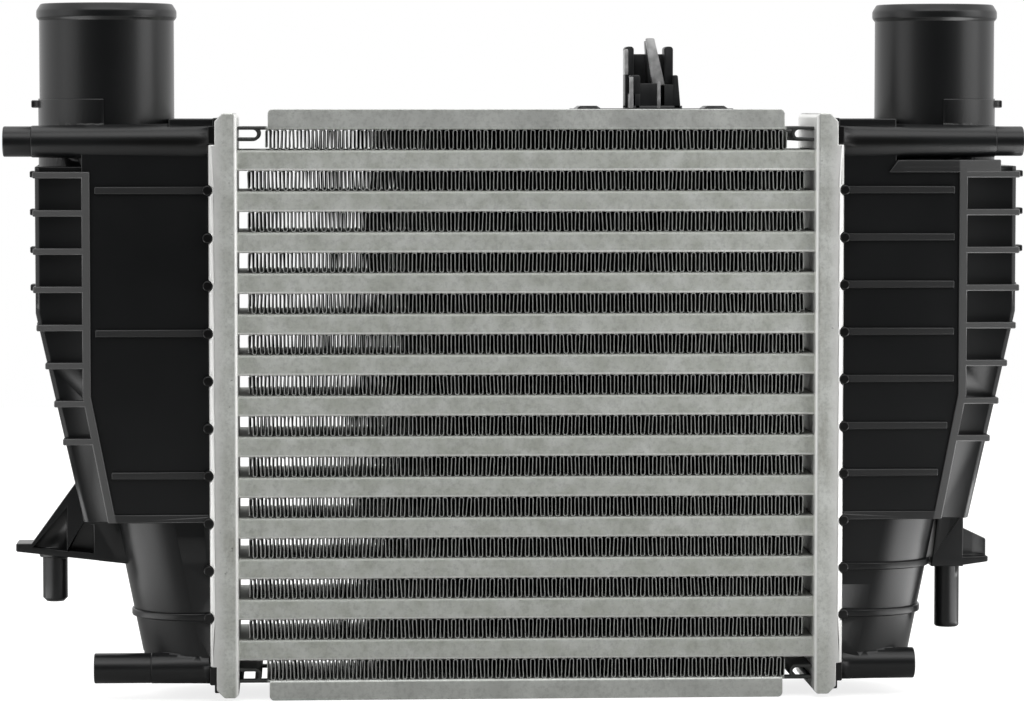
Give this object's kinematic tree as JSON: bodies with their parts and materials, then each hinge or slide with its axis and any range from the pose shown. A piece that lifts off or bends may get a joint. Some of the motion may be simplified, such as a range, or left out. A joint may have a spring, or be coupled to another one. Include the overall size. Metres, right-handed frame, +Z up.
{
  "type": "intercooler",
  "caption": "Air-to-air intercooler with a finned flat-tube aluminium core between crimped headers, black ribbed nylon end tanks and an upright hose spigot on each side.",
  "frame": {"origin": "middle of the cooler's outer box, at the height of the bottom side plate's edges that it stands on", "axes": "+X to the right across the core, towards the smaller spigot; +Y to the back, along the cooling air's way through; +Z up along the spigots"},
  "size_m": [0.3906, 0.0608, 0.2648],
  "materials": {
    "tank_nylon": "moulded glass-filled nylon, fine grain, satin",
    "clip_nylon": "moulded nylon, satin",
    "header_aluminium": "brazed aluminium sheet, dull with faint stains",
    "side_plate_aluminium": "brazed aluminium sheet, dull",
    "tube_aluminium": "brazed aluminium sheet, flat dull grey",
    "fin_aluminium": "thin aluminium sheet, satin",
    "seal_rubber": "black moulded rubber"
  },
  "bodies": {
    "root": {"left_tank": "tank_nylon", "right_tank": "tank_nylon", "left_header": "header_aluminium", "right_header": "header_aluminium", "left_seal": "seal_rubber", "right_seal": "seal_rubber", "bottom_side_plate": "side_plate_aluminium", "top_side_plate": "side_plate_aluminium", "top_clip": "clip_nylon", "tube_01": "tube_aluminium", "tube_02": "tube_aluminium", "tube_03": "tube_aluminium", "tube_04": "tube_aluminium", "tube_05": "tube_aluminium", "tube_06": "tube_aluminium", "tube_07": "tube_aluminium", "tube_08": "tube_aluminium", "tube_09": "tube_aluminium", "tube_10": "tube_aluminium", "tube_11": "tube_aluminium", "tube_12": "tube_aluminium", "tube_13": "tube_aluminium", "turbulator_01": "fin_aluminium", "turbulator_02": "fin_aluminium", "turbulator_03": "fin_aluminium", "turbulator_04": "fin_aluminium", "turbulator_05": "fin_aluminium", "turbulator_06": "fin_aluminium", "turbulator_07": "fin_aluminium", "turbulator_08": "fin_aluminium", "turbulator_09": "fin_aluminium", "turbulator_10": "fin_aluminium", "turbulator_11": "fin_aluminium", "turbulator_12": "fin_aluminium", "turbulator_13": "fin_aluminium", "fin_01": "fin_aluminium", "fin_02": "fin_aluminium", "fin_03": "fin_aluminium", "fin_04": "fin_aluminium", "fin_05": "fin_aluminium", "fin_06": "fin_aluminium", "fin_07": "fin_aluminium", "fin_08": "fin_aluminium", "fin_09": "fin_aluminium", "fin_10": "fin_aluminium", "fin_11": "fin_aluminium", "fin_12": "fin_aluminium", "fin_13": "fin_aluminium", "fin_14": "fin_aluminium"}
  },
  "joints": []
}
